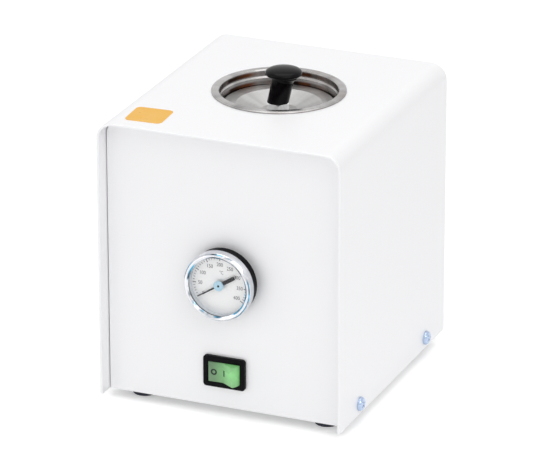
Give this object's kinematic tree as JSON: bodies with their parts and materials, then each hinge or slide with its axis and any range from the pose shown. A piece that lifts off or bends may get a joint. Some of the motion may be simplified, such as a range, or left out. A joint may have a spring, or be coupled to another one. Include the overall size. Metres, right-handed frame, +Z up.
{
  "type": "glass bead sterilizer",
  "caption": "Bench-top glass bead sterilizer: white sheet casing, round steel bead well with a loose lid and slanting knob, dial thermometer and lit rocker switch.",
  "frame": {"origin": "on the bench, under the middle of the cover", "axes": "+Z up, +X to the right seen from the front, +Y to the back; the dial and the switch face -Y"},
  "size_m": [0.1244, 0.1359, 0.1511],
  "materials": {
    "white_powder_coat": "fine white powder coat on steel sheet",
    "blue_zinc": "blue passivated zinc",
    "zinc": "zinc plate",
    "foot_rubber": "matte black rubber",
    "amber_label": "plain amber film",
    "stainless": "spun stainless steel",
    "satin_stainless": "satin stainless steel",
    "bright_steel": "bright steel",
    "polished_steel": "polished stainless steel",
    "bead_glass": "bed of clear glass beads",
    "black_knob": "glossy black plastic",
    "block_aluminium": "turned aluminium",
    "heater_steel": "stainless jacket of a mica heater",
    "mineral_wool": "pressed mineral wool",
    "shield_steel": "galvanised sheet",
    "white_ceramic": "unglazed white ceramic",
    "gauge_black": "black moulded case",
    "window_glass": "clear glass",
    "dial_white": "white printed dial",
    "pointer_black": "black painted needle",
    "hub_pale": "pale blue boss",
    "brass": "brass",
    "bimetal": "bimetal strip",
    "switch_black": "black moulded plastic",
    "rocker_green": "translucent green plastic",
    "thermostat_plastic": "brown-black phenolic",
    "copper": "copper",
    "wire_brown": "brown silicone insulation",
    "wire_blue": "blue silicone insulation",
    "wire_green": "green and yellow insulation"
  },
  "bodies": {
    "casing": {"band_heater": "heater_steel", "band_screw": "zinc", "base_tray": "white_powder_coat", "bead_cup": "stainless", "bimetal_strip": "bimetal", "blank_label": "amber_label", "blue_wires": "wire_blue", "brown_wires": "wire_brown", "capillary": "copper", "cover": "white_powder_coat", "cover_screws": "blue_zinc", "dish_screws": "stainless", "earth_nut": "zinc", "earth_stud": "zinc", "earth_tag": "brass", "earth_wire": "wire_green", "foot_screws": "zinc", "front_panel": "white_powder_coat", "gauge_bezel": "polished_steel", "gauge_case": "gauge_black", "gauge_dial": "dial_white", "gauge_glass": "window_glass", "gauge_nut": "brass", "glass_beads": "bead_glass", "heat_shield": "shield_steel", "heating_block": "block_aluminium", "inlet_body": "switch_black", "inlet_pins": "brass", "inlet_screws": "zinc", "insulation_disc": "mineral_wool", "insulation_sleeve": "mineral_wool", "lead_bushes": "white_ceramic", "rear_panel": "white_powder_coat", "rubber_feet": "foot_rubber", "shield_collar": "shield_steel", "side_nuts": "zinc", "small_nuts": "zinc", "standoff_screws": "zinc", "standoffs": "zinc", "switch_body": "switch_black", "switch_lamp": "window_glass", "switch_pivot": "bright_steel", "switch_terminals": "brass", "thermal_fuse": "white_ceramic", "thermometer_stem": "bright_steel", "thermostat": "thermostat_plastic", "thermostat_bracket": "shield_steel", "thermostat_bulb": "copper", "well_dish": "stainless"},
    "lid": {"lid_plate": "satin_stainless", "lid_stud": "bright_steel", "lid_nut": "bright_steel", "lid_knob": "black_knob"},
    "rocker": {"switch_rocker": "rocker_green"},
    "pointer": {"gauge_pointer": "pointer_black", "pointer_hub": "hub_pale", "gauge_spindle": "brass"},
    "fuse_tray": {"fuse_drawer": "switch_black", "fuses": "window_glass"}
  },
  "joints": [
    {"name": "lid_lift", "type": "slide", "parent": "casing", "child": "lid", "axis": [0, 0, 1], "range_m": [0, 0.06]},
    {"name": "rocker_tilt", "type": "hinge", "parent": "casing", "child": "rocker", "pos_m": [0, -0.0596, 0.0224], "axis": [0, 0, 1], "range_deg": [0, 30]},
    {"name": "pointer_turn", "type": "hinge", "parent": "casing", "child": "pointer", "pos_m": [0, -0.06, 0.0679], "axis": [0, 1, 0], "range_deg": [0, 245], "stiffness_Nm_per_rad": 0.001},
    {"name": "fuse_drawer_slide", "type": "slide", "parent": "casing", "child": "fuse_tray", "axis": [0, 1, 0], "range_m": [0, 0.026]}
  ]
}
